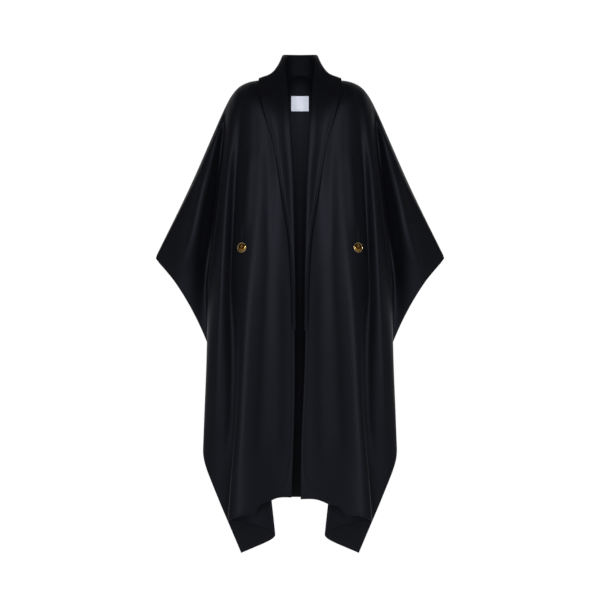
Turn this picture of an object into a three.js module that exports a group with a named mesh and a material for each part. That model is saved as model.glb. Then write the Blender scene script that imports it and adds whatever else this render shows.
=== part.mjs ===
// A long wool cloak with a shawl collar, open in front, in the hollow form that it has when worn.
// Units are millimetres. +Z is up, the wearer faces -Y, and +X is the wearer's left.
// The origin is in the middle of the neck, at the height of the shoulders.
import * as THREE from "three";

// Driving sizes of the cloth, its seams and the roundings below the neck and over the shoulder and arm
const clothThickness = 2;
const seamGap = 0.3;
const neckRound = 150;
const shoulderRound = 78;
const armRound = 46;
const neckWidth = 60;

// Where along the shoulder seam the rounding has changed from that of the neck, and where it starts
// and ends to change into that of the arm
const shoulderFrom = 150;
const armFrom = 190;
const armTo = 240;

// Driving sizes of the collar: its room over the panels, the bend at its fold, where down the fall
// its sections have points, and how much it drops where it sags in
const collarLift = 4;
const rollRadius = 2.4;
const fallShares = [0.34, 0.68];
const sagDrop = 0.7;

// Driving sizes of the buttons and where they are sewn
const buttonRadius = 14;
const buttonDome = 5;
const buttonRim = 2.2;
const shankRadius = 3.5;
const shankLength = 3.2;
const edgeHeight = 2;
const buttonAcross = 162;
const buttonHeight = -490;

// Driving sizes of the label and its highest edge
const labelWidth = 52;
const labelHeight = 44;
const labelTop = -37;
const labelThickness = 0.8;
const labelRoom = 0.7;

// How far the wearer's left front hangs over towards the middle at its hem and how much lower it ends,
// how far down that starts and is whole, and from which fold line on it fades and is gone
const leanAcross = 22;
const leanDown = 5;
const leanFrom = 780;
const leanTo = 1190;
const leanFades = 66;
const leanGone = 130;

// The share of the way down from which the corner of the hem gets sharp
const cornerFrom = 0.6;

// How finely the walls are faceted
const panelRows = 18;
const collarRows = 14;
const collarStations = [0, 1, 2, 2.5, 3, 3.5, 4, 4.6, 5.2, 5.8, 6.4, 7];
const rollStation = 6;
const buttonSides = 20;

// How finely and how far down the panels are sampled under the collar, and the step for a direction
const sampleRows = 70;
const sampleColumns = 40;
const sampledShare = 0.66;
const smallStep = 0.004;

// The seam over the shoulder and down the arm, from the neck to the wrist
const shoulderSeam = tableOf(
  ["across", "depth", "height"],
  [
    [60, 8, 4],
    [116, 5, -1],
    [148, 2, -7],
    [176, 0, -21],
    [196, -2, -44],
    [214, -4, -76],
    [246, -7, -148],
    [307, -11, -290],
    [411, -15, -503],
  ],
);

// The back neck seam, from the centre to the shoulder seam
const backNeck = tableOf(
  ["across", "depth", "height"],
  [
    [0, 68, 20],
    [30, 58, 16],
    [50, 36, 10],
    [60, 8, 4],
  ],
);

// Each row is one fold line of the front, from the shoulder seam down to the hem or the side edge.
// start is where it leaves the shoulder seam and under is its depth just below the shoulder.
// x and y are given a quarter, half and three quarters of the way down, then at the end with z.
// steps is the number of facets from this line to the next.
const foldColumns = [
  "start", "under", "x1", "y1", "x2", "y2", "x3", "y3", "endX", "endY", "endZ", "steps",
];
const frontFolds = tableOf(foldColumns, [
  [60, -110, 33, -127, 19, -133, 15, -135, 24, -146, -1197, 2],
  [84, -113, 57, -135, 57, -144, 60, -147, 69, -158, -1197, 2],
  [104, -110, 88, -132, 98, -155, 102, -162, 116, -178, -1226, 2],
  [124, -108, 112, -138, 142, -166, 155, -182, 171, -197, -1245, 3],
  [140, -103, 152, -130, 172, -154, 180, -172, 206, -181, -1260, 2],
  [146, -100, 166, -122, 183, -138, 150, -128, 150, -98, -1270, 2],
  [152, -96, 177, -115, 189, -128, 112, -108, 63, -128, -1302, 3],
  [163, -88, 188, -110, 197, -121, 176, -96, 169, -44, -1366, 3],
  [182, -77, 209, -116, 229, -134, 244, -116, 250, -76, -1167, 2],
  [195, -68, 225, -86, 251, -98, 266, -98, 283, -62, -1062, 2],
  [203, -60, 232, -58, 257, -48, 264, -44, 236, -22, -880, 2],
  [214, -52, 230, -42, 246, -28, 276, -20, 283, -18, -725, 3],
  [236, -57, 249, -72, 279, -86, 304, -85, 354, -50, -594, 3],
  [320, -55, 338, -54, 355, -50, 371, -44, 386, -36, -554, 2],
  [411, -20, 411, -22, 410, -24, 408, -26, 406, -28, -532, 0],
]);

// The same for the back, from the centre seam outwards
const backFolds = tableOf(foldColumns, [
  [0, 104, 0, 122, 0, 138, 0, 152, 0, 165, -1225, 3],
  [32, 105, 36, 129, 38, 150, 40, 168, 42, 185, -1227, 3],
  [60, 106, 70, 131, 76, 148, 80, 162, 84, 176, -1230, 2],
  [92, 105, 108, 121, 118, 131, 126, 140, 130, 150, -1244, 2],
  [124, 100, 144, 124, 162, 144, 178, 156, 196, 166, -1270, 4],
  [152, 92, 176, 94, 184, 88, 128, 97, 92, 104, -1300, 3],
  [163, 84, 192, 84, 201, 82, 208, 72, 160, 52, -1352, 2],
  [182, 72, 206, 90, 220, 104, 232, 92, 236, 44, -1140, 2],
  [195, 62, 221, 70, 241, 68, 252, 54, 262, 26, -1040, 2],
  [203, 55, 228, 50, 249, 42, 254, 36, 236, 26, -870, 2],
  [214, 47, 227, 39, 241, 30, 268, 24, 276, 18, -718, 3],
  [236, 46, 250, 58, 281, 68, 306, 62, 350, 28, -588, 3],
  [320, 38, 336, 40, 352, 37, 367, 29, 380, 15, -548, 2],
  [411, -12, 410, -10, 409, -8, 407, -7, 403, -6, -530, 0],
]);

// Each row is one section of the collar, from the centre back round to where it ends in the front edge.
// place is where it is sewn: below 0 round the back neck, above 0 the way down the front edge.
// roll is the fold line that shows, and edge is the free edge, by where it lies on the body panel.
// lie is 0 where the collar stands free and 1 where it lies flat on the front.
// hollow is how far the fall sags in below a straight line.
const collarSections = tableOf(
  ["place", "rollX", "rollY", "rollZ", "edgeX", "edgeZ", "lie", "hollow"],
  [
    [-60, 0, 84, 82, 0, -16, 0, 0],
    [-30, 33, 71, 81, 62, -22, 0, 3],
    [-10, 49, 36, 77, 100, -20, 0, 8],
    [0, 50, 4, 70, 118, -5, 0, 8],
    [6, 45, -32, 36, 119, -30, 0.2, 10],
    [20, 40, -64, 2, 114, -60, 0.6, 5],
    [50, 35, -96, -40, 104, -92, 1, 0],
    [122, 30, -122, -112, 85, -150, 1, 0],
    [202, 24, -136, -195, 67, -222, 1, 0],
    [322, 18, -145, -318, 52, -330, 1, 0],
    [462, 15.5, -157, -458, 31, -462, 1, 0],
    [602, 13.5, -164, -600, 22, -600, 1, 0],
    [740, 12, -170, -738, 18.5, -738, 1, 0],
  ],
);

const wool = new THREE.MeshStandardMaterial({ color: "#17181d", roughness: 0.92, metalness: 0 });
const brass = new THREE.MeshStandardMaterial({ color: "#8a6a2c", roughness: 0.3, metalness: 1 });
const satin = new THREE.MeshStandardMaterial({ color: "#c6c9d6", roughness: 0.6, metalness: 0 });

// Turns rows of numbers into records with named columns.
function tableOf(names, rows) {
  return rows.map((row) => Object.fromEntries(names.map((name, i) => [name, row[i]])));
}

function pointOf(row) {
  return new THREE.Vector3(row.across, row.depth, row.height);
}

// The point of a line of table rows that lies so far across.
function pointAcross(rows, across) {
  const curve = smooth(rows.map(pointOf));
  let low = 0;
  let high = 1;
  for (let i = 0; i < 30; i += 1) {
    const middle = (low + high) / 2;
    if (curve.getPoint(middle).x < across) low = middle;
    else high = middle;
  }
  return curve.getPoint((low + high) / 2);
}

function topPoint(start) {
  const rows = start < neckWidth ? backNeck : shoulderSeam;
  return pointAcross(rows, start);
}

function smooth(points) {
  return new THREE.CatmullRomCurve3(points, false, "centripetal");
}

// One fold line as a function of the share v of the way down.
function foldLine(fold) {
  const top = topPoint(fold.start);
  const way = new THREE.SplineCurve([
    new THREE.Vector2(top.x, fold.under),
    new THREE.Vector2(fold.x1, fold.y1),
    new THREE.Vector2(fold.x2, fold.y2),
    new THREE.Vector2(fold.x3, fold.y3),
    new THREE.Vector2(fold.endX, fold.endY),
  ]);
  const drop = top.z - fold.endZ;
  const onArm = THREE.MathUtils.smoothstep(fold.start, armFrom, armTo);
  const pastNeck = THREE.MathUtils.smoothstep(fold.start, neckWidth, shoulderFrom);
  const aside = THREE.MathUtils.lerp(shoulderRound, armRound, onArm);
  const round = Math.min(THREE.MathUtils.lerp(neckRound, aside, pastNeck), drop);
  return (v) => {
    const flat = way.getPoint(v);
    const rest = 1 - Math.min((v * drop) / round, 1);
    const fullness = Math.sqrt(1 - rest * rest);
    return new THREE.Vector3(
      flat.x,
      THREE.MathUtils.lerp(top.y, flat.y, fullness),
      top.z - v * drop,
    );
  };
}

// A body panel as a smooth surface: u runs from its inner edge to its side, v from top to bottom.
// Towards the hem it comes to a corner at its lowest fold line, where the hem meets the side edge.
function panelSurface(folds) {
  const lines = folds.map(foldLine);
  const ends = folds.map((fold) => fold.endZ);
  const cornerFold = ends.indexOf(Math.min(...ends));
  const corner = cornerFold / (folds.length - 1);
  return (u, v) => {
    const down = THREE.MathUtils.clamp(v, 0, 1);
    const across = THREE.MathUtils.clamp(u, 0, 1);
    const points = lines.map((line) => line(down));
    const hem = smooth(points.slice(0, cornerFold + 1));
    const side = smooth(points.slice(cornerFold));
    const sharp = across < corner
      ? hem.getPoint(across / corner)
      : side.getPoint((across - corner) / (1 - corner));
    const sharpness = THREE.MathUtils.smoothstep(down, cornerFrom, 1);
    return smooth(points).getPoint(across).lerp(sharp, sharpness);
  };
}

// The outward direction of a surface, with forward -1 for a front and 1 for a back.
function outward(surface, u, v, forward) {
  const alongU = surface(u + smallStep, v).sub(surface(u - smallStep, v));
  const alongV = surface(u, v + smallStep).sub(surface(u, v - smallStep));
  return alongU.cross(alongV).normalize().multiplyScalar(forward);
}

// The surface parameters of the point that is so far across at a height.
function locate(surface, across, height) {
  const width = 520;
  const length = 1250;
  let u = 0.1;
  let v = 0.1;
  for (let i = 0; i < 90; i += 1) {
    const point = surface(u, v);
    u = THREE.MathUtils.clamp(u + (across - point.x) / width, 0, 1);
    v = THREE.MathUtils.clamp(v + (point.z - height) / length, 0, 1);
  }
  return { u, v };
}

// The shares u of a panel at which its facets end.
function facetsAcross(folds) {
  const last = folds.length - 1;
  const facets = [];
  folds.slice(0, last).forEach((fold, i) => {
    for (let k = 0; k < fold.steps; k += 1) {
      const share = k / fold.steps;
      const start = THREE.MathUtils.lerp(fold.start, folds[i + 1].start, share);
      facets.push({ u: (i + share) / last, start });
    }
  });
  return [...facets, { u: 1, start: folds[last].start }];
}

// The shares v of a panel at which its facets end, close together over the shoulder.
function facetsDown() {
  return Array.from({ length: panelRows + 1 }, (_, j) => (j / panelRows) ** 2);
}

// Points and outward directions of a panel, cleared by half a seam from the panels beside it.
function panelGrid(folds, surface, forward) {
  return facetsDown().map((v) =>
    facetsAcross(folds).map(({ u, start }) => {
      const point = surface(u, v);
      const normal = outward(surface, u, v, forward);
      if (v === 0) {
        point.copy(topPoint(start));
        point.y += (forward * seamGap) / 2;
        normal.setY(0).normalize();
      }
      if (u === 0 && forward > 0) {
        point.x += seamGap / 2;
        normal.setX(0).normalize();
      }
      return { point, normal };
    }),
  );
}

// A closed wall of even thickness round a grid of points and directions.
function wall(grid, thickness) {
  const rows = grid.length;
  const columns = grid[0].length;
  const positions = [];
  [0.5, -0.5].forEach((share) =>
    grid.flat().forEach(({ point, normal }) =>
      positions.push(...point.clone().addScaledVector(normal, share * thickness).toArray()),
    ),
  );
  const at = (side, j, i) => side * rows * columns + j * columns + i;
  const index = [];
  const quad = (a, b, c, d) => index.push(a, b, c, a, c, d);
  for (let j = 0; j < rows - 1; j += 1) {
    for (let i = 0; i < columns - 1; i += 1) {
      quad(at(0, j, i), at(0, j, i + 1), at(0, j + 1, i + 1), at(0, j + 1, i));
      quad(at(1, j, i), at(1, j + 1, i), at(1, j + 1, i + 1), at(1, j, i + 1));
    }
  }
  const around = (a, b) => quad(a(0), a(1), b(1), b(0));
  for (let i = 0; i < columns - 1; i += 1) {
    around((s) => at(s, 0, i), (s) => at(s, 0, i + 1));
    around((s) => at(s, rows - 1, i + 1), (s) => at(s, rows - 1, i));
  }
  for (let j = 0; j < rows - 1; j += 1) {
    around((s) => at(s, j + 1, 0), (s) => at(s, j, 0));
    around((s) => at(s, j, columns - 1), (s) => at(s, j + 1, columns - 1));
  }
  const geometry = new THREE.BufferGeometry();
  geometry.setAttribute("position", new THREE.Float32BufferAttribute(positions, 3));
  geometry.setIndex(index);
  return faceOut(geometry);
}

// Turns all faces round if the enclosed volume comes out negative.
function faceOut(geometry) {
  const position = geometry.getAttribute("position");
  const index = geometry.getIndex();
  const corner = (k) => new THREE.Vector3().fromBufferAttribute(position, index.getX(k));
  let volume = 0;
  for (let k = 0; k < index.count; k += 3) {
    volume += corner(k).dot(corner(k + 1).cross(corner(k + 2)));
  }
  if (volume < 0) index.array.reverse();
  geometry.computeVertexNormals();
  return geometry;
}

// The grid of the wearer's left front, moved over towards the middle near its hem.
function leaning(grid) {
  const facets = facetsAcross(frontFolds);
  return grid.map((row) =>
    row.map(({ point, normal }, i) => {
      const down = THREE.MathUtils.smoothstep(-point.z, leanFrom, leanTo);
      const share = down * (1 - THREE.MathUtils.smoothstep(facets[i].start, leanFades, leanGone));
      const moved = point.clone();
      moved.x -= leanAcross * share;
      moved.z -= leanDown * share;
      return { point: moved, normal };
    }),
  );
}

// The same grid on the other side of the garment.
function mirrored(grid, side) {
  const flip = new THREE.Vector3(side, 1, 1);
  return grid.map((row) =>
    row.map(({ point, normal }) => ({
      point: point.clone().multiply(flip),
      normal: normal.clone().multiply(flip),
    })),
  );
}

const front = panelSurface(frontFolds);
const back = panelSurface(backFolds);
const panelSamples = [...samplesOf(front, -1), ...samplesOf(back, 1)];
const frontDrop = shoulderSeam[0].height - frontFolds[0].endZ;

// A point of the neck seam: place is below 0 round the back neck and the way down the front above 0.
function seamPoint(place) {
  return place < 0 ? topPoint(neckWidth + place) : front(0, place / frontDrop);
}

// Samples of a panel under the collar, each with the outward direction there.
function samplesOf(surface, forward) {
  const samples = [];
  for (let j = 0; j <= sampleRows; j += 1) {
    const v = sampledShare * (j / sampleRows) ** 2 + smallStep / 10;
    for (let i = 0; i <= sampleColumns; i += 1) {
      const u = (sampledShare * i) / sampleColumns;
      samples.push({ point: surface(u, v), normal: outward(surface, u, v, forward) });
    }
  }
  return samples;
}

// A point near a panel, moved out of it where it is closer than the collar's own room.
function lifted(point) {
  const nearest = panelSamples.reduce((best, sample) =>
    sample.point.distanceToSquared(point) < best.point.distanceToSquared(point) ? sample : best,
  );
  const height = point.clone().sub(nearest.point).dot(nearest.normal);
  return height < collarLift ? point.clone().addScaledVector(nearest.normal, collarLift - height) : point;
}

// A point that lies on a panel's outer face, lifted off it by the collar's own room.
function laidOn(section, across, height) {
  const surface = section.place < 0 ? back : front;
  const forward = section.place < 0 ? 1 : -1;
  const { u, v } = locate(surface, across, height);
  const point = surface(u, v);
  if (u === 0) point.x = across;
  const normal = outward(surface, Math.max(u, 2 * smallStep), Math.max(v, smallStep), forward);
  return point.addScaledVector(normal, collarLift);
}

// The points of a collar section after its foot: up the stand, over the roll and down the fall.
function collarProfile(section, along) {
  const roll = new THREE.Vector3(section.rollX, section.rollY, section.rollZ);
  const base = seamPoint(section.place);
  roll.y = THREE.MathUtils.lerp(section.rollY, base.y - collarLift / 2, section.lie);
  const width = roll.distanceTo(base);
  const rise = roll.clone().sub(base).normalize();
  const out = rise.clone().cross(along).normalize();
  const top = roll.clone().addScaledVector(rise, -Math.min(1.6 * rollRadius, 0.4 * width));
  const standTop = top.clone().addScaledVector(out, -rollRadius);
  const fallTop = top.clone().addScaledVector(out, rollRadius);
  const edge = laidOn(section, section.edgeX, section.edgeZ);
  const aside = new THREE.Vector3(edge.x - roll.x, edge.y - roll.y, 0).normalize();
  const fall = fallShares.map((share) => {
    const sag = section.hollow * Math.sin(Math.PI * share);
    const free = fallTop.clone().lerp(edge, share).addScaledVector(aside, -sag);
    free.z -= sagDrop * sag;
    return free.lerp(laidOn(section, free.x, free.z), section.lie);
  });
  return [base.lerp(standTop, 0.5), standTop, roll, fallTop, ...fall, edge];
}

// The places along the neck seam where the panels' own facets end.
function collarPlaces() {
  const behind = facetsAcross(backFolds).filter(({ start }) => start < neckWidth);
  const down = facetsDown().slice(0, collarRows + 1);
  return [...behind.map(({ start }) => start - neckWidth), ...down.map((v) => v * frontDrop)];
}

// The share of the way through the collar's sections at a place on the seam.
function sectionShare(place) {
  const last = collarSections.length - 1;
  const i = Math.max(collarSections.findIndex((s) => s.place >= place), 1);
  const before = collarSections[i - 1].place;
  return (i - 1 + (place - before) / (collarSections[i].place - before)) / last;
}

// The collar's half as a grid: across the profile in one direction, round the neck in the other.
function collarGrid() {
  const rolls = collarSections.map((s) => new THREE.Vector3(s.rollX, s.rollY, s.rollZ));
  const last = rolls.length - 1;
  const profiles = collarSections.map((section, i) => {
    const along = rolls[Math.min(i + 1, last)].clone().sub(rolls[Math.max(i - 1, 0)]);
    if (i === 0) along.set(1, 0, 0);
    return collarProfile(section, along);
  });
  const lines = profiles[0].map((_, k) => smooth(profiles.map((profile) => profile[k])));
  const lie = smooth(collarSections.map((s) => new THREE.Vector3(s.lie, 0, 0)));
  const columns = collarPlaces().map((place) => {
    const share = Math.min(sectionShare(place), 1);
    const points = lines.map((line) => line.getPoint(share));
    const base = seamPoint(place);
    const clear = THREE.MathUtils.lerp(clothThickness / 2 + seamGap, seamGap, lie.getPoint(share).x);
    const seamway = seamPoint(place + 1).sub(seamPoint(place - 1)).normalize();
    const foot = base.clone().add(points[0].clone().sub(base).projectOnPlane(seamway).setLength(clear));
    const profile = smooth([foot, ...points]);
    return collarStations.map((station, k) => {
      const point = profile.getPoint(station / points.length);
      return k < rollStation ? point : lifted(point);
    });
  });
  const rows = columns[0].map((_, k) => columns.map((column) => column[k]));
  for (let pass = 0; pass < 3; pass += 1) liftFacets(rows);
  return withNormals(rows);
}

// Moves the corners of each facet of the fall out by as much as its middle or sides are too close.
function liftFacets(rows) {
  for (let j = rollStation; j < rows.length - 1; j += 1) {
    for (let i = 0; i < rows[j].length - 1; i += 1) {
      const [a, b, c, d] = [rows[j][i], rows[j][i + 1], rows[j + 1][i + 1], rows[j + 1][i]];
      [[a, b, c, d], [a, c], [b, d], [b, c], [c, d]].forEach(liftMiddle);
    }
  }
}

function liftMiddle(corners) {
  const middle = new THREE.Vector3();
  corners.forEach((corner) => middle.addScaledVector(corner, 1 / corners.length));
  const move = lifted(middle).clone().sub(middle);
  corners.forEach((corner) => corner.add(move));
}

// Adds to each point of a grid the direction square to the surface there.
function withNormals(rows) {
  return rows.map((row, j) =>
    row.map((point, i) => {
      const along = row[Math.min(i + 1, row.length - 1)].clone().sub(row[Math.max(i - 1, 0)]);
      const down = rows[Math.min(j + 1, rows.length - 1)][i].clone().sub(rows[Math.max(j - 1, 0)][i]);
      const normal = along.cross(down).normalize();
      const placed = point.clone();
      if (i === 0) {
        placed.x = seamGap / 2;
        normal.setX(0).normalize();
      }
      return { point: placed, normal };
    }),
  );
}

// A domed metal button with a raised rim and a shank, its back at z = 0.
function buttonGeometry() {
  const inner = buttonRadius - buttonRim;
  const round = edgeHeight / 2;
  const edgeTop = shankLength + edgeHeight;
  const profile = [
    [0, 0],
    [shankRadius, 0],
    [shankRadius, shankLength],
    [buttonRadius - round, shankLength],
    [buttonRadius, shankLength + round],
    [buttonRadius, edgeTop],
    [buttonRadius - buttonRim / 2, edgeTop + 0.4 * edgeHeight],
    [inner, edgeTop],
    [inner * 0.8, shankLength + buttonDome * 0.72],
    [inner * 0.45, shankLength + buttonDome * 0.94],
    [0, shankLength + buttonDome],
  ];
  const outline = profile.map(([x, y]) => new THREE.Vector2(x, y));
  return new THREE.LatheGeometry(outline, buttonSides).rotateX(Math.PI / 2);
}

// The button on its panel. Its shank ends just clear of the facets, which lie inside the smooth surface.
function button(side) {
  const { u, v } = locate(front, buttonAcross, buttonHeight);
  const normal = outward(front, u, v, -1);
  const mesh = new THREE.Mesh(buttonGeometry(), brass);
  mesh.position.copy(front(u, v)).addScaledVector(normal, clothThickness / 2);
  mesh.position.x *= side;
  normal.x *= side;
  mesh.quaternion.setFromUnitVectors(new THREE.Vector3(0, 0, 1), normal);
  return mesh;
}

// The bare woven label inside the back of the neck, across the centre seam.
function labelGeometry() {
  const room = clothThickness / 2 + labelRoom + labelThickness / 2;
  const rows = [0, 1, 2, 3, 4].map((j) => labelTop - (j / 4) * labelHeight);
  const columns = [-3, -2, -1, 0, 1, 2, 3].map((i) => (i / 6) * labelWidth);
  const grid = rows.map((height) =>
    columns.map((x) => {
      const { u, v } = locate(back, Math.abs(x), height);
      const normal = outward(back, Math.max(u, smallStep), v, 1);
      if (x === 0) normal.setX(0).normalize();
      const point = back(u, v).addScaledVector(normal, -room);
      const side = x < 0 ? -1 : 1;
      point.x *= side;
      normal.x *= side;
      return { point, normal };
    }),
  );
  return wall(grid, labelThickness);
}

function named(name, mesh) {
  mesh.name = name;
  return mesh;
}

const cloak = new THREE.Group();
const collar = collarGrid();
// The wearer's right is at -X.
[["right", -1], ["left", 1]].forEach(([hand, side]) => {
  const frontGrid = panelGrid(frontFolds, front, -1);
  const frontWall = wall(side > 0 ? leaning(frontGrid) : mirrored(frontGrid, side), clothThickness);
  const backWall = wall(mirrored(panelGrid(backFolds, back, 1), side), clothThickness);
  const collarWall = wall(mirrored(collar, side), clothThickness);
  cloak.add(named(`front_${hand}`, new THREE.Mesh(frontWall, wool)));
  cloak.add(named(`back_${hand}`, new THREE.Mesh(backWall, wool)));
  cloak.add(named(`collar_${hand}`, new THREE.Mesh(collarWall, wool)));
  cloak.add(named(`button_${hand}`, button(side)));
});
cloak.add(named("label", new THREE.Mesh(labelGeometry(), satin)));

export default cloak;
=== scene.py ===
import math

import bmesh
import bpy
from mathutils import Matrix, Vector
from mathutils.geometry import intersect_point_line


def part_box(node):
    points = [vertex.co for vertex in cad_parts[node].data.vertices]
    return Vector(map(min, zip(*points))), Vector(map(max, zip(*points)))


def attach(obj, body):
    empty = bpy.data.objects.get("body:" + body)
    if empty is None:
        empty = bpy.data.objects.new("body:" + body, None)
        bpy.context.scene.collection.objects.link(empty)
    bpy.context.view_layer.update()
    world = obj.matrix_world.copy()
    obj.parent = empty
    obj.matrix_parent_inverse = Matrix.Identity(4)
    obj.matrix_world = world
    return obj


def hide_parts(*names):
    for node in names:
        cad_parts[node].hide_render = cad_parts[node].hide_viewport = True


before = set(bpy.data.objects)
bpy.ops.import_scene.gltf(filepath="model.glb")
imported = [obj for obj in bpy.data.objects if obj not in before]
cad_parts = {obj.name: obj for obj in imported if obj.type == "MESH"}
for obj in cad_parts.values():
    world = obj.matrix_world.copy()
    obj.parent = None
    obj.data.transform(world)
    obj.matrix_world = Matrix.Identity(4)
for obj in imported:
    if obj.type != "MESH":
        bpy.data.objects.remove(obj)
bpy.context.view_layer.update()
mm = 0.001

# The cloth of every panel: felted double-faced wool, sewn without a lining
cloth = {
    "thickness": 2.0 * mm,
    "levels": 3,             # subdivisions before the creases are pressed in
    "edgeRound": 0.8 * mm,
    "stitchLine": 5.0 * mm,  # the hand stitching runs this far inside each free edge
    "tipReach": 6.0 * mm,    # how far the point of the wing stands out from its short end
    "edgeDip": 0.5 * mm,     # how far the stitching pulls the cloth in
    "grooveShift": 1.2,      # how far outside the collar's edge the groove lies, in mm
    "grooveFrom": -0.03,     # the height from which on down the collar lies flat
}

# The groove that the collar's edge presses into the front
collarGroove = {"inner": 4.5, "outer": 2.3, "height": -2.6, "fade": 30}

# Creases on the fronts, drawn as seen from the front: (x, z) in mm on the wearer's left,
# left and right of each line how wide it is, and how far it stands out (a trough is negative)
frontCreases = [
    {"name": "fold over the arm", "inner": 13, "outer": 7, "height": 3, "fade": 70,
     "line": [(200, -72), (210, -190), (214, -330), (219, -480), (224, -600), (229, -700)]},
    {"name": "trough beside the arm", "inner": 9, "outer": 22, "height": -6, "fade": 90,
     "line": [(217, -130), (234, -270), (248, -400), (262, -500), (270, -600)]},
    {"name": "ridge above the button", "inner": 14, "outer": 9, "height": 2.6, "fade": 60,
     "line": [(140, -190), (148, -300), (153, -400), (156, -455)]},
    {"name": "trough beside the button", "inner": 8, "outer": 9, "height": -2, "fade": 80,
     "line": [(184, -190), (188, -310), (191, -420), (194, -560)]},
    {"name": "pull to the button, inner", "inner": 3, "outer": 3, "height": -1.1, "fade": 16,
     "line": [(161, -424), (161, -448), (162, -470)]},
    {"name": "pull to the button, middle", "inner": 3, "outer": 3, "height": 1, "fade": 14,
     "line": [(171, -420), (169, -446), (166, -470)]},
    {"name": "pull to the button, outer", "inner": 3, "outer": 3, "height": -1.3, "fade": 16,
     "line": [(184, -418), (178, -446), (171, -470)]},
    {"name": "inner soft ridge", "inner": 17, "outer": 20, "height": 2.2, "fade": 160,
     "line": [(62, -520), (60, -760), (63, -980), (66, -1150)]},
    {"name": "chest trough", "inner": 18, "outer": 12, "height": -2, "fade": 120,
     "line": [(90, -330), (88, -525), (95, -660), (104, -800), (110, -960), (120, -1110)]},
    {"name": "ridge beside the fold", "inner": 22, "outer": 16, "height": 2, "fade": 120,
     "line": [(142, -540), (147, -640), (153, -750), (162, -920), (170, -1040), (182, -1170)]},
    {"name": "hip trough", "inner": 9, "outer": 14, "height": -4.5, "fade": 140,
     "line": [(192, -600), (190, -760), (194, -980), (212, -1120)]},
    {"name": "side ridge", "inner": 15, "outer": 8, "height": 2.4, "fade": 120,
     "line": [(226, -600), (233, -760), (239, -930), (242, -1060)]},
    {"name": "pull at the side", "inner": 6, "outer": 4, "height": -2, "fade": 14,
     "line": [(236, -1116), (246, -1126), (256, -1132)]},
    {"name": "arm ridge", "inner": 17, "outer": 14, "height": 5.5, "fade": 80,
     "line": [(252, -225), (277, -306), (300, -409), (332, -520), (348, -585)]},
    {"name": "wrist trough", "inner": 12, "outer": 12, "height": -2, "fade": 60,
     "line": [(330, -400), (356, -466), (374, -510)]},
    {"name": "shoulder trough", "inner": 16, "outer": 12, "height": -1.6, "fade": 60,
     "line": [(126, -66), (124, -150), (120, -250)]},
]

# How much higher than a straight line the front's hem runs, at some distances from the middle
hemCurve = [(80, 0), (97, 5), (107, 8), (114, 3), (124, -6), (141, -5), (165, -1), (190, 0)]

# Similar creases on the back, which the front hides
backCreases = [
    {"name": "shoulder blade fold", "inner": 16, "outer": 10, "height": 3.4, "fade": 120,
     "line": [(128, -110), (146, -300), (160, -520), (170, -760)]},
    {"name": "trough beside the blade", "inner": 10, "outer": 14, "height": -3.4, "fade": 110,
     "line": [(178, -150), (186, -330), (188, -540), (176, -740)]},
    {"name": "fold over the arm", "inner": 14, "outer": 8, "height": 4, "fade": 80,
     "line": [(200, -100), (214, -280), (222, -470), (226, -680)]},
    {"name": "trough beside the arm", "inner": 9, "outer": 18, "height": -4, "fade": 90,
     "line": [(222, -160), (242, -320), (258, -450), (268, -580)]},
    {"name": "arm ridge", "inner": 20, "outer": 16, "height": 3, "fade": 110,
     "line": [(262, -260), (288, -370), (316, -480), (330, -540)]},
    {"name": "drag from the neck", "inner": 12, "outer": 9, "height": 2, "fade": 70,
     "line": [(66, -40), (76, -150), (80, -270)]},
    {"name": "second drag from the neck", "inner": 10, "outer": 12, "height": -1.8, "fade": 60,
     "line": [(94, -60), (104, -170), (108, -300)]},
    {"name": "long soft ridge", "inner": 20, "outer": 16, "height": 2.6, "fade": 180,
     "line": [(60, -420), (72, -660), (78, -900), (82, -1120)]},
    {"name": "long soft trough", "inner": 14, "outer": 18, "height": -2.4, "fade": 160,
     "line": [(110, -460), (120, -700), (126, -940), (130, -1140)]},
    {"name": "low ridge", "inner": 12, "outer": 10, "height": 2.6, "fade": 120,
     "line": [(150, -760), (166, -920), (182, -1080), (190, -1180)]},
    {"name": "side trough", "inner": 9, "outer": 12, "height": -2.6, "fade": 110,
     "line": [(206, -640), (212, -800), (214, -940)]},
]

# Soft drags on the collar, where it turns over the roll and lies down on the front
collarCreases = [
    {"name": "drag below the neck", "inner": 7, "outer": 9, "height": 1.2, "fade": 26,
     "line": [(58, 20), (66, -20), (72, -64)]},
    {"name": "dip along the roll", "inner": 7, "outer": 8, "height": -1.0, "fade": 40,
     "line": [(44, 40), (46, -40), (42, -120), (38, -200)]},
    {"name": "long soft swell", "inner": 9, "outer": 10, "height": 0.8, "fade": 80,
     "line": [(50, -160), (44, -260), (34, -380)]},
]

button = {
    "radius": 14 * mm,
    "rim": 1.9 * mm,
    "dome": 5.0 * mm,
    "shank": 3.2 * mm,      # how far the shank holds the button off the cloth
    "shankRadius": 3.5 * mm,
    "steps": 64,
}

label = {
    "thickness": 0.8 * mm,
    "levels": 3,
}

studio = {
    "floorHeight": -1.47,
    "sweepReach": 30,     # how far the paper reaches to the front and to each side
    "sweepBack": 9,       # behind every camera, so that the back can be looked at
    "sweepRadius": 1.2,
    "key": 165,           # watts, a tall narrow softbox that starts just over the camera
    "low": 37,            # watts each, beside the camera, for the lower half
    "softboxes": 6,       # watts each, on both sides
    "sky": 0.1,
}

view = {
    "distance": 6.0,
    "height": -0.638,
    "field": 1.74,
}


def linear(hexColour):
    # sRGB hex to the linear colour that the shader takes
    parts = [int(hexColour[i:i + 2], 16) / 255 for i in (1, 3, 5)]
    return [c / 12.92 if c <= 0.04045 else ((c + 0.055) / 1.055) ** 2.4 for c in parts] + [1.0]


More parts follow.
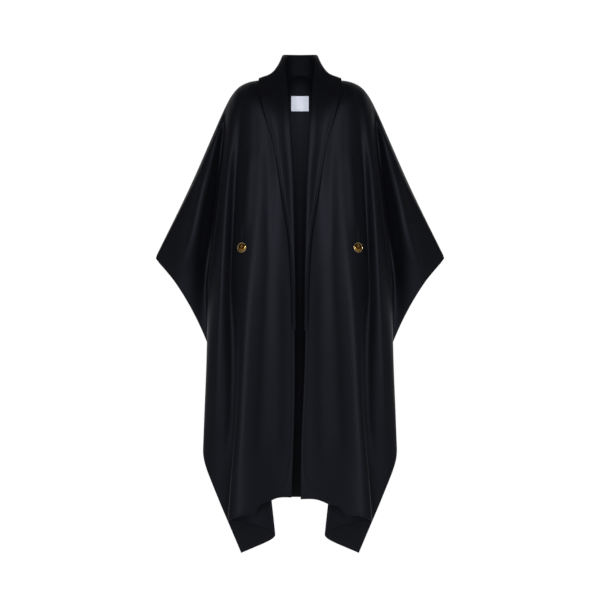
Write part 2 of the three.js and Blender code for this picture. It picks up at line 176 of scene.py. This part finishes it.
def addNode(tree, kind, settings=None, **links):
    # Adds one node. Settings are its properties, links its inputs: a value, or another node's output
    node = tree.nodes.new(kind)
    for name, value in (settings or {}).items():
        setattr(node, name, value)
    for name, value in links.items():
        socket = node.inputs[int(name[1:]) if name[1:].isdigit() else name.replace("_", " ")]
        if isinstance(value, bpy.types.NodeSocket):
            tree.links.new(value, socket)
        else:
            socket.default_value = value
    return node


def newMaterial(name):
    made = bpy.data.materials.new(name)
    made.use_nodes = True
    tree = made.node_tree
    return made, tree, tree.nodes["Principled BSDF"]


def ramp(tree, value, low, high):
    # A factor from 0 to 1 as the value goes from low to high
    return addNode(tree, "ShaderNodeMapRange", {"clamp": True},
                   i0=value, i1=low, i2=high, i3=0.0, i4=1.0).outputs[0]


def blended(tree, factor, first, second):
    mix = addNode(tree, "ShaderNodeMix", {"data_type": "RGBA"}, i0=factor)
    for slot, colour in ((6, first), (7, second)):
        if isinstance(colour, bpy.types.NodeSocket):
            tree.links.new(colour, mix.inputs[slot])
        else:
            mix.inputs[slot].default_value = colour
    return mix.outputs[2]


def feltedWool():
    # Felted wool, brushed and pressed: matt and nearly black, a blue-violet cast where light grazes
    # the nap, and a fine uneven pile that breaks the colour up a little
    made, tree, shader = newMaterial("felted_wool")
    place = addNode(tree, "ShaderNodeTexCoord").outputs["Object"]
    pile = 0.9 * mm       # tufts of the pile, drawn coarser than the real fibres so that they show
    cloud = 34 * mm       # patches where the nap was brushed another way
    fine = addNode(tree, "ShaderNodeTexNoise", Vector=place, Scale=1 / pile, Detail=3.0, Roughness=0.6)
    # the nap lies down the cloth, so its tufts are longer that way
    along = addNode(tree, "ShaderNodeMapping", Vector=place, Scale=(1.0, 1.0, 0.35))
    nap = addNode(tree, "ShaderNodeTexNoise", Vector=along.outputs[0], Scale=1 / (2.6 * mm),
                  Detail=4.0, Roughness=0.65)
    patches = addNode(tree, "ShaderNodeTexNoise", Vector=place, Scale=1 / cloud, Detail=2.0)
    base = blended(tree, ramp(tree, nap.outputs[0], 0.3, 0.7), linear("#050507"), linear("#09090c"))
    worn = blended(tree, ramp(tree, patches.outputs[0], 0.35, 0.75), base, linear("#07080b"))
    flecked = blended(tree, ramp(tree, fine.outputs[0], 0.62, 0.8), worn, linear("#0e0e12"))
    tree.links.new(flecked, shader.inputs["Base Color"])
    # a shallow line where the hand stitching draws the free edges in
    edge = addNode(tree, "ShaderNodeAttribute", {"attribute_name": "fromEdge"}).outputs["Fac"]
    away = addNode(tree, "ShaderNodeMath", {"operation": "SUBTRACT"}, i0=edge, i1=cloth["stitchLine"])
    size = addNode(tree, "ShaderNodeMath", {"operation": "ABSOLUTE"}, i0=away.outputs[0])
    pulled = ramp(tree, size.outputs[0], 0.0, 1.6 * mm)
    height = addNode(tree, "ShaderNodeMath", {"operation": "MULTIPLY_ADD"},
                     i0=pulled, i1=0.8, i2=nap.outputs[0])
    height = addNode(tree, "ShaderNodeMath", {"operation": "MULTIPLY_ADD"},
                     i0=fine.outputs[0], i1=0.5, i2=height.outputs[0])
    bump = addNode(tree, "ShaderNodeBump", Height=height.outputs[0], Distance=0.35 * mm, Strength=0.5)
    tree.links.new(bump.outputs[0], shader.inputs["Normal"])
    shader.inputs["Roughness"].default_value = 0.53
    shader.inputs["Specular IOR Level"].default_value = 0.085
    # the cool gleam of the pressed nap
    shader.inputs["Specular Tint"].default_value = linear("#dde4ff")
    shader.inputs["Sheen Weight"].default_value = 0.02
    shader.inputs["Sheen Roughness"].default_value = 0.45
    shader.inputs["Sheen Tint"].default_value = linear("#a9aec4")
    return made


def antiqueBrass():
    # Polished cast brass under a dark lacquer: deep brown-gold with sharp highlights,
    # darker in the groove beside the rim
    made, tree, shader = newMaterial("antique_brass")
    place = addNode(tree, "ShaderNodeTexCoord").outputs["Object"]
    tarnish = addNode(tree, "ShaderNodeTexNoise", Vector=place, Scale=1 / (3 * mm), Detail=4.0)
    scratch = addNode(tree, "ShaderNodeTexNoise", Vector=place, Scale=1 / (0.6 * mm), Detail=2.0)
    groove = addNode(tree, "ShaderNodeAttribute", {"attribute_name": "groove"}).outputs["Fac"]
    gold = blended(tree, ramp(tree, tarnish.outputs[0], 0.4, 0.7), linear("#7a5a2b"), linear("#4e3613"))
    gold = blended(tree, groove, gold, linear("#241607"))
    tree.links.new(gold, shader.inputs["Base Color"])
    rough = addNode(tree, "ShaderNodeMapRange", i0=scratch.outputs[0], i1=0.3, i2=0.7, i3=0.11, i4=0.19)
    tree.links.new(rough.outputs[0], shader.inputs["Roughness"])
    shader.inputs["Metallic"].default_value = 1.0
    return made


def polishedBrass():
    # The raised rim, rubbed bright by wear
    made, tree, shader = newMaterial("rubbed_brass")
    place = addNode(tree, "ShaderNodeTexCoord").outputs["Object"]
    wear = addNode(tree, "ShaderNodeTexNoise", Vector=place, Scale=1 / (2 * mm), Detail=3.0)
    gold = blended(tree, ramp(tree, wear.outputs[0], 0.35, 0.65), linear("#a08a60"), linear("#c3b08a"))
    tree.links.new(gold, shader.inputs["Base Color"])
    shader.inputs["Metallic"].default_value = 1.0
    shader.inputs["Roughness"].default_value = 0.24
    return made


def wovenSatin():
    # Polyester satin ribbon: a pale blue-grey with a silky gleam across its fine ribs
    made, tree, shader = newMaterial("woven_satin")
    place = addNode(tree, "ShaderNodeTexCoord").outputs["Object"]
    rib = 0.7 * mm        # real ribs are about 0.2 mm, drawn coarser so that they show
    ribs = addNode(tree, "ShaderNodeTexWave", {"bands_direction": "Z"}, Vector=place,
                   Scale=2 * math.pi / rib / 20, Distortion=0.4)
    fibre = addNode(tree, "ShaderNodeTexNoise", Vector=place, Scale=1 / (1.1 * mm), Detail=2.0)
    pale = blended(tree, ramp(tree, fibre.outputs[0], 0.3, 0.7), linear("#c6cbdb"), linear("#d2d7e6"))
    tree.links.new(pale, shader.inputs["Base Color"])
    bump = addNode(tree, "ShaderNodeBump", Height=ribs.outputs[1], Distance=0.05 * mm, Strength=0.4)
    tree.links.new(bump.outputs[0], shader.inputs["Normal"])
    shader.inputs["Roughness"].default_value = 0.42
    shader.inputs["Sheen Weight"].default_value = 0.2
    return made


def seamlessPaper():
    # Matt white background paper, far behind and under the object, that glows evenly
    made, tree, shader = newMaterial("seamless_paper")
    shader.inputs["Base Color"].default_value = linear("#5a5a5a")
    shader.inputs["Emission Strength"].default_value = 0.95
    shader.inputs["Roughness"].default_value = 0.95
    shader.inputs["Emission Color"].default_value = linear("#ffffff")
    return made


def link(name, mesh):
    made = bpy.data.objects.new(name, mesh)
    bpy.context.scene.collection.objects.link(made)
    return made


def islands(layer):
    # The connected groups of faces
    left = set(layer.faces)
    groups = []
    while left:
        group = [left.pop()]
        for face in group:
            near = {f for e in face.edges for f in e.link_faces} & left
            left -= near
            group.extend(near)
        groups.append(group)
    return groups


def outerLayer(node, thickness, facing):
    # A merged copy of a CAD wall, cut down to the layer that faces the given way
    layer = bmesh.new()
    layer.from_mesh(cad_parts[node].data)
    for store in ("fromEdge", "crease_vert"):
        layer.verts.layers.float.new(store)
    bmesh.ops.remove_doubles(layer, verts=layer.verts, dist=0.02 * mm)
    # only the rim's triangles have a side as long as the wall is thick, and lie along the border
    rim = [f for f in layer.faces
           if any(abs(e.calc_length() - thickness) < 0.02 * mm for e in f.edges)]
    bmesh.ops.delete(layer, geom=rim, context="FACES")

    def turnedTo(group):
        return sum((f.normal * f.calc_area() for f in group), Vector()).dot(facing)

    groups = sorted(islands(layer), key=turnedTo)
    inner = [f for group in groups[:-1] for f in group]
    bmesh.ops.delete(layer, geom=inner, context="FACES")
    return layer


def side(layer, corner, first):
    # The border's vertices from one corner to the next, along the given first edge
    points = [corner, first.other_vert(corner)]
    while len(points[-1].link_edges) > 3:
        onward = [e for e in points[-1].link_edges
                  if e.is_boundary and e.other_vert(points[-1]) is not points[-2]]
        points.append(onward[0].other_vert(points[-1]))
    return points


def stepsFrom(starts):
    # How many edges each vertex is away from the nearest start
    steps = {v: 0 for v in starts}
    queue = list(starts)
    for v in queue:
        for e in v.link_edges:
            other = e.other_vert(v)
            if other not in steps:
                steps[other] = steps[v] + 1
                queue.append(other)
    return steps


def squared(layer):
    # Takes out the diagonals of a triangulated grid, and gives each vertex its row and column.
    # A border vertex with fewer than four edges is one of the grid's corners
    corner = min((v for v in layer.verts if len(v.link_edges) < 4), key=lambda v: abs(v.co.x) - v.co.z)
    borders = [side(layer, corner, e) for e in corner.link_edges if e.is_boundary]
    borders.sort(key=lambda border: -abs(border[-1].co.x))     # the seam that runs outwards comes first
    rows, columns = (stepsFrom(border) for border in borders)
    diagonals = [e for e in layer.edges
                 if rows[e.verts[0]] != rows[e.verts[1]] and columns[e.verts[0]] != columns[e.verts[1]]]
    bmesh.ops.dissolve_edges(layer, edges=diagonals, use_verts=False)
    return {(rows[v], columns[v]): v for v in layer.verts}


def closedSeams(grid, facing):
    # Lets the panels meet at the centre seam and at the shoulder, where the CAD walls keep a gap
    for (row, column), v in grid.items():
        if column == 0 and abs(v.co.x) < 0.3 * mm:
            v.co.x *= -3
        if row == 0 and abs(v.co.y) < 12 * mm:
            v.co.y -= math.copysign(0.5 * mm, facing.y)


def pointedTip(layer, grid):
    # Draws the short edge at the end of the wing out to a point half way down
    last = max(column for row, column in grid)
    edge = [grid[row, last] for row in range(max(row for row, column in grid) + 1)]
    top, low = edge[0].co.z, edge[-1].co.z
    share = [(top - v.co.z) / (top - low) for v in edge]
    tip = min(range(len(edge)), key=lambda row: abs(share[row] - 0.5))
    for v, down in zip(edge, share):
        reach = down / share[tip] if down < share[tip] else (1 - down) / (1 - share[tip])
        v.co.x += math.copysign(cloth["tipReach"] * reach, v.co.x)
    edge[tip][layer.verts.layers.float["crease_vert"]] = 1.0


def measured(layer, grid, freeSides):
    # Stores at each vertex how far it is from the nearest free edge, along the cloth
    store = layer.verts.layers.float["fromEdge"]
    lastRow = max(r for r, c in grid)
    lastColumn = max(c for r, c in grid)
    far = 1.0
    for v in grid.values():
        v[store] = far
    runs = []
    for c in range(lastColumn + 1):
        line = [grid[r, c] for r in range(lastRow + 1)]
        runs += [line] * ("firstRow" in freeSides) + [line[::-1]] * ("lastRow" in freeSides)
    for r in range(lastRow + 1):
        line = [grid[r, c] for c in range(lastColumn + 1)]
        runs += [line] * ("firstColumn" in freeSides) + [line[::-1]] * ("lastColumn" in freeSides)
    for line in runs:
        way = 0.0
        for before, v in zip([line[0]] + line, line):
            way += (v.co - before.co).length
            v[store] = min(v[store], way)


def subdivided(mesh, levels):
    # A denser copy of the mesh, rounded, with its corners kept
    holder = link("subdividing", mesh)
    rounding = holder.modifiers.new("rounding", "SUBSURF")
    rounding.levels = rounding.render_levels = levels
    rounding.boundary_smooth = "PRESERVE_CORNERS"
    shown = holder.evaluated_get(bpy.context.evaluated_depsgraph_get())
    dense = bpy.data.meshes.new_from_object(shown)
    bpy.data.objects.remove(holder)
    return dense


def smoothStep(x):
    x = min(max(x, 0.0), 1.0)
    return x * x * (3 - 2 * x)


def creaseLines(creases, sign):
    # The creases in metres, on one side of the garment, with the length up to each point
    lines = []
    for crease in creases:
        points = [Vector((sign * x * mm, z * mm, 0)) for x, z in crease["line"]]
        ways = [0.0]
        for a, b in zip(points, points[1:]):
            ways.append(ways[-1] + (b - a).length)
        reach = 2.6 * mm * max(crease["inner"], crease["outer"])
        low = [min(p[k] for p in points) - reach for k in (0, 1)]
        high = [max(p[k] for p in points) + reach for k in (0, 1)]
        lines.append((crease, points, ways, low, high))
    return lines


def nearest(here, points, ways):
    # The closest point of a line of points, with its distance and the way along the line
    found = []
    for a, b, way in zip(points, points[1:], ways):
        share = min(max(intersect_point_line(here, a, b)[1], 0.0), 1.0)
        near = a.lerp(b, share)
        found.append(((here - near).length, near, way + share * (b - a).length))
    return min(found, key=lambda f: f[0])


def standsOut(here, lines):
    # How far the creases move the cloth out at a place seen from the front
    height = 0.0
    for crease, points, ways, low, high in lines:
        if not (low[0] < here.x < high[0] and low[1] < here.y < high[1]):
            continue
        gap, near, way = nearest(here, points, ways)
        width = crease["outer" if abs(here.x) > abs(near.x) else "inner"] * mm
        if gap > 2.6 * width:
            continue
        fade = crease["fade"] * mm
        ends = smoothStep(way / fade) * smoothStep((ways[-1] - way) / fade)
        height += crease["height"] * mm * ends * math.exp(-(gap / width) ** 2)
    return height


def grooveAlong(edge, sign):
    # A narrow groove in the front, just outside the collar's edge, where the edge presses in
    shift = cloth["grooveShift"]
    line = [(sign * v.x / mm + shift, v.z / mm) for v in edge if v.z < cloth["grooveFrom"]]
    return {"name": "groove at the collar", "line": line, **collarGroove}


def pressed(mesh, creases, sign, facing, strength):
    # Moves the vertices that face the given way out along each ridge and in along each trough
    lines = creaseLines(creases, sign)
    shape = bmesh.new()
    shape.from_mesh(mesh)
    shape.normal_update()
    moves = []
    for v in shape.verts:
        faced = smoothStep((v.normal.dot(facing) - 0.05) / 0.35)
        if faced:
            out = standsOut(Vector((v.co.x, v.co.z, 0)), lines) * faced * strength
            moves.append((v, v.normal * out))
    for v, move in moves:
        v.co += move
    store = shape.verts.layers.float["fromEdge"]
    for v in shape.verts:
        near = abs(v[store] - cloth["stitchLine"]) / (2 * mm)
        v.co -= v.normal * cloth["edgeDip"] * math.exp(-near ** 2)
    shape.to_mesh(mesh)
    shape.free()


def curvedHem(mesh):
    # Draws the front's hem along its curve, and the cloth just above it a little less
    fade = 45 * mm
    for v in mesh.vertices:
        x, y, z = v.co
        if z < -1.1 and y < -0.13:
            edge = mesh.attributes["fromEdge"].data[v.index].value
            for (x1, high1), (x2, high2) in zip(hemCurve, hemCurve[1:]):
                if x1 * mm <= abs(x) < x2 * mm:
                    share = (abs(x) / mm - x1) / (x2 - x1)
                    rise = high1 + (high2 - high1) * smoothStep(share)
                    v.co.z += rise * mm * math.exp(-(edge / fade) ** 2)


def collarEdge(node):
    # The points of the collar's free edge, from the neck down
    layer = outerLayer(node, cloth["thickness"], Vector((0, -1, 0)))
    grid = squared(layer)
    last = max(row for row, column in grid)
    columns = sorted(column for row, column in grid if row == last)
    edge = [grid[last, column].co.copy() for column in columns]
    layer.free()
    return edge


def clothPiece(name, node, facing, freeSides, creases, sign, strength):
    # One panel: the CAD wall's outer face, rounded and creased, given its thickness inwards again
    layer = outerLayer(node, cloth["thickness"], facing)
    grid = squared(layer)
    measured(layer, grid, freeSides)
    closedSeams(grid, facing)
    if not node.startswith("collar"):
        pointedTip(layer, grid)
    # the corner of the hem stays sharp when the wall is rounded
    min(grid.values(), key=lambda v: v.co.z)[layer.verts.layers.float["crease_vert"]] = 1.0
    coarse = bpy.data.meshes.new(name)
    layer.to_mesh(coarse)
    layer.free()
    dense = subdivided(coarse, cloth["levels"])
    pressed(dense, creases, sign, facing, strength)
    if node.startswith("front"):
        curvedHem(dense)
    dense.shade_smooth()
    piece = link(name, dense)
    wall = piece.modifiers.new("thickness", "SOLIDIFY")
    wall.thickness = cloth["thickness"]
    wall.offset = -1.0
    rounding = piece.modifiers.new("round edges", "BEVEL")
    rounding.width = cloth["edgeRound"]
    rounding.segments = 3
    rounding.angle_limit = math.radians(60)
    rounding.harden_normals = True
    dense.materials.clear()
    dense.materials.append(wool)
    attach(piece, "root")
    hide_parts(node)
    return piece


def buttonAxis(node):
    # The centre of the button's back and the direction that it faces, from its CAD solid:
    # the two poles of the turned shape are the vertices where the most edges meet
    solid = bmesh.new()
    solid.from_mesh(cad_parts[node].data)
    bmesh.ops.remove_doubles(solid, verts=solid.verts, dist=0.02 * mm)
    poles = sorted(solid.verts, key=lambda v: len(v.link_edges))[-2:]
    backPole, frontPole = sorted((v.co.copy() for v in poles), key=lambda p: -p.y)
    solid.free()
    return backPole, (frontPole - backPole).normalized()


def buttonPiece(name, node):
    # Domed button with a raised, rounded rim and a groove inside it, on a short shank
    r, rim, shank = button["radius"], button["rim"], button["shank"]
    inner = r - rim
    profile = [(0, 0), (button["shankRadius"], 0), (button["shankRadius"] * 0.8, shank * 0.5),
               (button["shankRadius"], shank), (r * 0.86, shank), (r * 0.97, shank + 0.5 * mm)]
    for step in range(9):        # the rim, half a circle seen in section
        turn = math.pi * step / 8
        profile.append((r - rim / 2 + math.cos(turn) * rim / 2, shank + 1.7 * mm + math.sin(turn) * 1.1 * mm))
    profile.append((inner - 0.35 * mm, shank + 1.45 * mm))
    dome = 14
    for step in range(dome + 1): # the dome, lower towards the groove
        turn = math.pi / 2 * step / dome
        profile.append(((inner - 0.5 * mm) * math.cos(turn),
                        shank + 1.5 * mm + (button["dome"] - 1.5 * mm) * math.sin(turn)))
    turned = bmesh.new()
    points = [turned.verts.new((x, 0, z)) for x, z in profile]
    for a, b in zip(points, points[1:]):
        turned.edges.new((a, b))
    bmesh.ops.spin(turned, geom=turned.verts[:] + turned.edges[:], cent=(0, 0, 0), axis=(0, 0, 1),
                   angle=2 * math.pi, steps=button["steps"], use_merge=True)
    bmesh.ops.remove_doubles(turned, verts=turned.verts, dist=0.005 * mm)
    bmesh.ops.recalc_face_normals(turned, faces=turned.faces)
    groove = turned.verts.layers.float.new("groove")
    for v in turned.verts:
        fromGroove = abs(Vector(v.co.xy).length - (inner - 0.4 * mm)) / (0.7 * mm)
        v[groove] = math.exp(-fromGroove ** 2) if v.co.z < shank + 2.3 * mm else 0.0
    for f in turned.faces:
        middle = f.calc_center_median()
        f.material_index = int(Vector(middle.xy).length > inner and middle.z > shank)
    place, way = buttonAxis(node)
    bmesh.ops.rotate(turned, verts=turned.verts, cent=(0, 0, 0),
                     matrix=Vector((0, 0, 1)).rotation_difference(way).to_matrix())
    bmesh.ops.translate(turned, verts=turned.verts, vec=place)
    mesh = bpy.data.meshes.new(name)
    turned.to_mesh(mesh)
    turned.free()
    mesh.shade_smooth()
    mesh.materials.append(brass)
    mesh.materials.append(rubbed)
    piece = link(name, mesh)
    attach(piece, "root")
    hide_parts(node)
    return piece


def labelPiece():
    # The bare label: satin ribbon, a little wavy between its stitches
    layer = outerLayer("label", label["thickness"], Vector((0, -1, 0)))
    grid = squared(layer)
    measured(layer, grid, ("firstColumn", "lastColumn", "firstRow", "lastRow"))
    coarse = bpy.data.meshes.new("label")
    layer.to_mesh(coarse)
    layer.free()
    dense = subdivided(coarse, label["levels"])
    shape = bmesh.new()
    shape.from_mesh(dense)
    shape.normal_update()
    low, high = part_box("label")
    for v in shape.verts:
        across = (v.co.x - low.x) / (high.x - low.x)
        down = (v.co.z - low.z) / (high.z - low.z)
        swell = math.sin(math.pi * across) * math.sin(math.pi * down)
        v.co += v.normal * 0.5 * mm * swell * math.sin(5.2 * across + 1.9 * down)
    shape.to_mesh(dense)
    shape.free()
    dense.shade_smooth()
    piece = link("label", dense)
    wall = piece.modifiers.new("thickness", "SOLIDIFY")
    wall.thickness = label["thickness"]
    wall.offset = -1.0
    bevel = piece.modifiers.new("soft edges", "BEVEL")
    bevel.width = 0.2 * mm
    bevel.segments = 2
    dense.materials.clear()
    dense.materials.append(satin)
    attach(piece, "root")
    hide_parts("label")
    return piece


def paperSweep():
    # The floor and the wall behind it in one sheet, with a wide round bend between them
    sweep = bmesh.new()
    wide, reach, bend = studio["sweepReach"], studio["sweepBack"], studio["sweepRadius"]
    low = studio["floorHeight"]
    line = [(-wide, low), (reach - bend, low)]
    for step in range(1, 17):
        turn = math.pi / 2 * step / 16
        line.append((reach - bend + bend * math.sin(turn), low + bend * (1 - math.cos(turn))))
    line.append((reach, 5.5))
    points = [sweep.verts.new((-wide, y, z)) for y, z in line]
    edges = [sweep.edges.new(pair) for pair in zip(points, points[1:])]
    drawn = bmesh.ops.extrude_edge_only(sweep, edges=edges)["geom"]
    moved = [g for g in drawn if isinstance(g, bmesh.types.BMVert)]
    bmesh.ops.translate(sweep, verts=moved, vec=(2 * wide, 0, 0))
    bmesh.ops.recalc_face_normals(sweep, faces=sweep.faces)
    mesh = bpy.data.meshes.new("paper_sweep")
    sweep.to_mesh(mesh)
    sweep.free()
    mesh.shade_smooth()
    mesh.materials.append(seamlessPaper())
    link("paper_sweep", mesh)


def softbox(name, place, aim, size, power, tint="#ffffff"):
    lamp = bpy.data.lights.new(name, "AREA")
    lamp.shape = "RECTANGLE"
    lamp.size, lamp.size_y = size
    lamp.energy = power
    lamp.color = linear(tint)[:3]
    holder = link(name, lamp)
    holder.location = place
    holder.rotation_euler = (Vector(aim) - Vector(place)).to_track_quat("-Z", "Y").to_euler()


def camera():
    lens = bpy.data.cameras.new("camera")
    lens.sensor_width = 36
    lens.lens = 36 * view["distance"] / view["field"]
    holder = link("camera", lens)
    holder.location = (0, -view["distance"], view["height"])
    holder.rotation_euler = (math.pi / 2, 0, 0)
    bpy.context.scene.camera = holder


camera()
bpy.context.scene.view_settings.view_transform = "Standard"
wool = feltedWool()
brass = antiqueBrass()
rubbed = polishedBrass()
satin = wovenSatin()
print("materials made")

forward = Vector((0, -1, 0))
backward = Vector((0, 1, 0))
panels = [
    ("front", forward, ("lastRow", "firstColumn"), frontCreases, (0.56, 1.40), 0.546),
    ("back", backward, ("lastRow",), backCreases, (0.55, 1.39), 0.521),
    ("collar", forward, ("lastRow", "lastColumn"), collarCreases, (0.15, 0.93), 0.064),
]
# the two sides are made from one pattern, but never crease quite alike
for hand, sign, strength in (("right", -1, 1.0), ("left", 1, 0.9)):
    groove = grooveAlong(collarEdge(f"collar_{hand}"), sign)
    for kind, facing, freeSides, creases, flat, area in panels:
        if kind == "front":
            creases = creases + [groove]
        piece = clothPiece(f"{kind}_{hand}_cloth", f"{kind}_{hand}", facing, freeSides, creases,
                           sign, strength)
        print("made", piece.name)
    buttonPiece(f"button_{hand}_metal", f"button_{hand}")
labelPiece()
print("label and buttons made")

paperSweep()
for sign, name in ((-1, "right"), (1, "left")):
    softbox(f"softbox_{name}", (sign * 2.5, -1.9, 1.0), (0, 0, -0.6), (1.3, 1.9), studio["softboxes"])
    softbox(f"low_{name}", (sign * 0.5, -4.9, -0.9), (0, 0, -1.0), (0.4, 0.8), studio["low"])
softbox("key", (0, -4.9, 0.6), (0, 0, -0.7), (0.5, 1.1), studio["key"])
sky = bpy.data.worlds.new("studio")
sky.use_nodes = True
bpy.context.scene.world = sky
sky.node_tree.nodes["Background"].inputs["Color"].default_value = linear("#ffffff")
sky.node_tree.nodes["Background"].inputs["Strength"].default_value = studio["sky"]
print("studio made")
